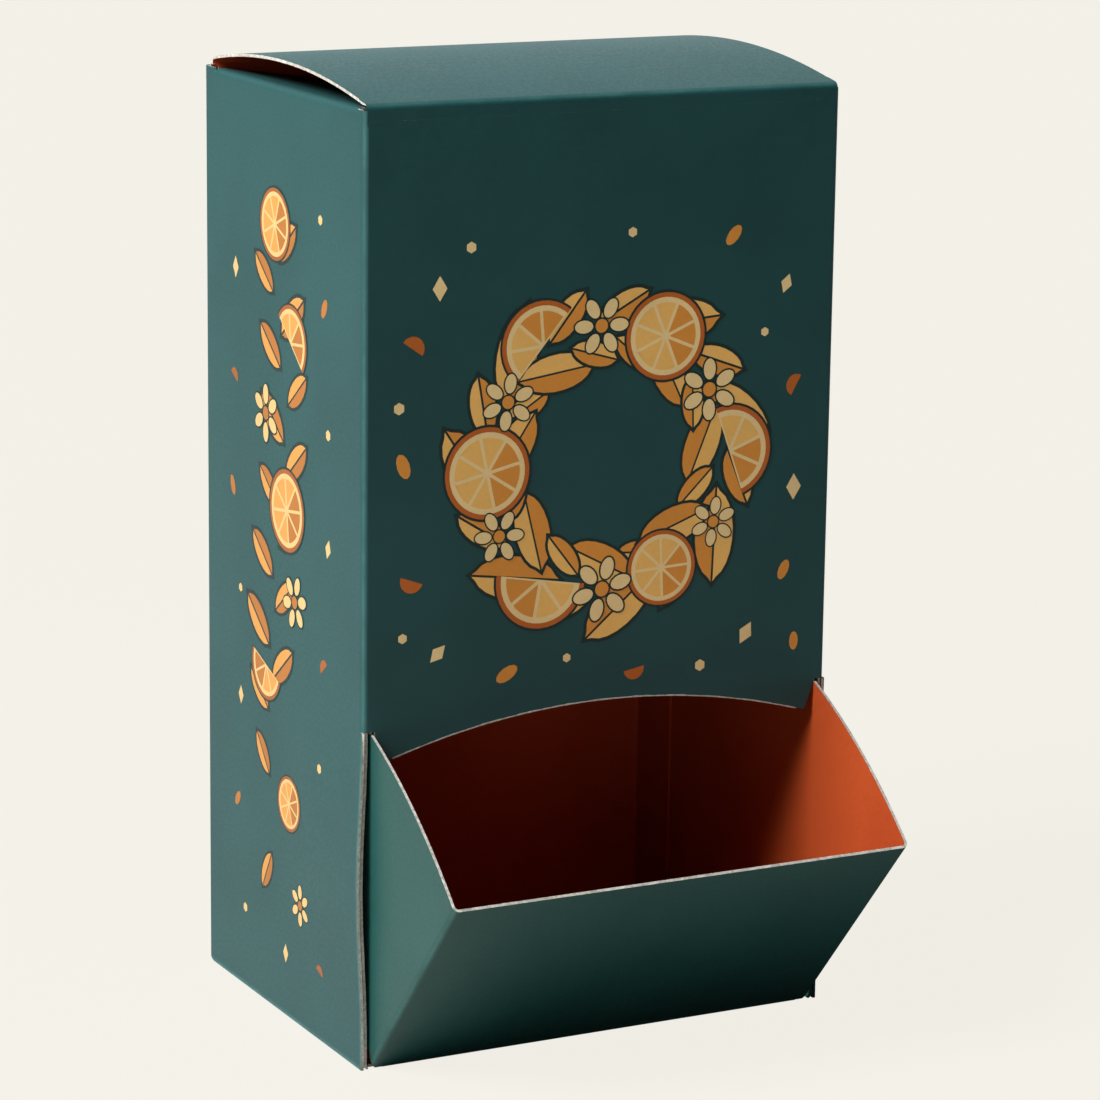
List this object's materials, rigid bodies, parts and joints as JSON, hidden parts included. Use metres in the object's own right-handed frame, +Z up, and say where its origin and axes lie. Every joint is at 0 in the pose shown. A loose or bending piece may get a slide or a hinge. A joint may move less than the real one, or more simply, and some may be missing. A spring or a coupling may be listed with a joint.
{
  "type": "gravity dispenser box",
  "caption": "Upright folded carton with a bowed tuck-in lid, an arched opening low in the front panel and a tilt-out scoop with side wings.",
  "frame": {"origin": "middle of the carton's base, on the underside that it stands on", "axes": "+Z up along the carton's height, -Y out of the front panel towards the scoop, +X to the right seen from the front"},
  "size_m": [0.1122, 0.1215, 0.2064],
  "materials": {
    "printed_board": "matte print, dark teal outside and orange-red inside"
  },
  "bodies": {
    "box": {"carton": "printed_board"},
    "lid": {"lid": "printed_board"},
    "scoop": {"scoop": "printed_board"}
  },
  "joints": [
    {"name": "lid_hinge", "type": "hinge", "parent": "box", "child": "lid", "pos_m": [0, -0.0395, 0.2005], "axis": [1, 0, 0], "range_deg": [0, 180]},
    {"name": "scoop_tilt", "type": "hinge", "parent": "box", "child": "scoop", "pos_m": [0, -0.0404, 0.0006], "axis": [1, 0, 0], "range_deg": [-41, 0]}
  ]
}
